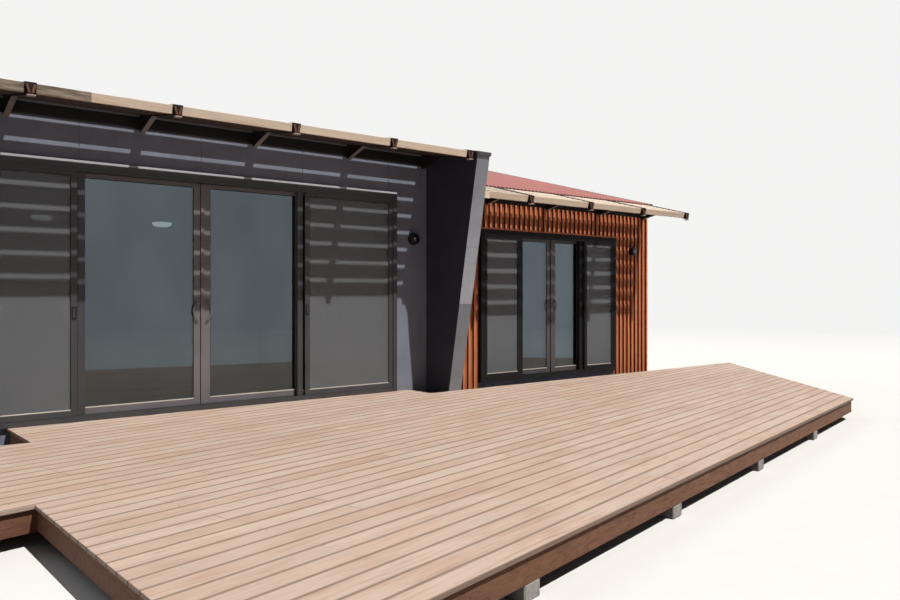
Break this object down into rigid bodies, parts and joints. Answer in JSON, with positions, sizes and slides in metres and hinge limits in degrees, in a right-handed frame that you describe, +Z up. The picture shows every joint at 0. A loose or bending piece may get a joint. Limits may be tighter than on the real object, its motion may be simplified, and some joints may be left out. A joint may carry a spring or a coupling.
{
  "type": "sliding door cabin",
  "caption": "Low modern cabin in two modules with raked end walls, slatted eaves, sliding glass doors and screens, timber battens and a skewed timber deck.",
  "frame": {"origin": "middle of the bounding box, on the ground under the cabin and its deck", "axes": "+Z up, +Y from the doors to the back of the cabin, +X from the main module to the side module"},
  "size_m": [12.8652, 10.844, 4.1809],
  "materials": {
    "cladding": "matt charcoal panels",
    "roof_sheet": "weathered red corrugated sheet",
    "door_aluminium": "satin dark bronze",
    "screen_frame": "satin dark bronze with dark mesh",
    "glass": "grey tinted, reflective",
    "eave_timber": "sun-bleached softwood",
    "batten_timber": "oiled red cedar",
    "arm_steel": "dark rust brown",
    "deck_timber": "weathered hardwood",
    "deck_frame_timber": "red-brown softwood",
    "floor": "plain boards",
    "light_body": "satin black",
    "pier": "cast concrete"
  },
  "bodies": {
    "cabin": {"main_floor": "floor", "main_front_wall_left": "cladding", "main_front_wall_right": "cladding", "main_front_header": "cladding", "main_back_wall": "cladding", "main_left_end_wall": "cladding", "main_right_end_wall": "cladding", "main_end_wall_caps": "cladding", "main_roof_panel": "cladding", "main_roof_sheet": "roof_sheet", "main_eave_arms": "arm_steel", "main_eave_slats": "eave_timber", "main_door_frame": "door_aluminium", "main_door_tracks": "door_aluminium", "main_fixed_glass": "glass", "side_floor": "floor", "side_front_wall_left": "cladding", "side_front_wall_right": "cladding", "side_front_header": "cladding", "side_back_wall": "cladding", "side_end_wall": "cladding", "side_battens_left": "batten_timber", "side_battens_right": "batten_timber", "side_battens_header": "batten_timber", "side_battens_end": "batten_timber", "side_corner_board": "batten_timber", "side_eave_ledger": "arm_steel", "side_roof_panel": "cladding", "side_roof_sheet": "roof_sheet", "side_eave_arms": "arm_steel", "side_eave_slats": "eave_timber", "side_door_frame": "door_aluminium", "side_door_tracks": "door_aluminium", "side_fixed_glass": "glass", "wall_lights": "light_body", "deck_boards": "deck_timber", "deck_frame": "deck_frame_timber", "deck_piers": "pier"},
    "main_sliding_door_left": {"main_sliding_frame_left": "door_aluminium", "main_sliding_glass_left": "glass"},
    "main_screen_left_slider": {"main_screen_left": "screen_frame"},
    "main_sliding_door_right": {"main_sliding_frame_right": "door_aluminium", "main_sliding_glass_right": "glass"},
    "main_screen_right_slider": {"main_screen_right": "screen_frame"},
    "side_sliding_door_left": {"side_sliding_frame_left": "door_aluminium", "side_sliding_glass_left": "glass"},
    "side_screen_left_slider": {"side_screen_left": "screen_frame"},
    "side_sliding_door_right": {"side_sliding_frame_right": "door_aluminium", "side_sliding_glass_right": "glass"},
    "side_screen_right_slider": {"side_screen_right": "screen_frame"}
  },
  "joints": [
    {"name": "main_leaf_left_slide", "type": "slide", "parent": "cabin", "child": "main_sliding_door_left", "axis": [-1, 0, 0], "range_m": [0, 0.98]},
    {"name": "main_leaf_right_slide", "type": "slide", "parent": "cabin", "child": "main_sliding_door_right", "axis": [1, 0, 0], "range_m": [0, 0.98]},
    {"name": "main_screen_left_slide", "type": "slide", "parent": "cabin", "child": "main_screen_left_slider", "axis": [1, 0, 0], "range_m": [0, 1.237]},
    {"name": "main_screen_right_slide", "type": "slide", "parent": "cabin", "child": "main_screen_right_slider", "axis": [-1, 0, 0], "range_m": [0, 1.237]},
    {"name": "side_leaf_left_slide", "type": "slide", "parent": "cabin", "child": "side_sliding_door_left", "axis": [-1, 0, 0], "range_m": [0, 0.45]},
    {"name": "side_leaf_right_slide", "type": "slide", "parent": "cabin", "child": "side_sliding_door_right", "axis": [1, 0, 0], "range_m": [0, 0.45]},
    {"name": "side_screen_left_slide", "type": "slide", "parent": "cabin", "child": "side_screen_left_slider", "axis": [1, 0, 0], "range_m": [0, 0.7]},
    {"name": "side_screen_right_slide", "type": "slide", "parent": "cabin", "child": "side_screen_right_slider", "axis": [-1, 0, 0], "range_m": [0, 0.7]}
  ]
}
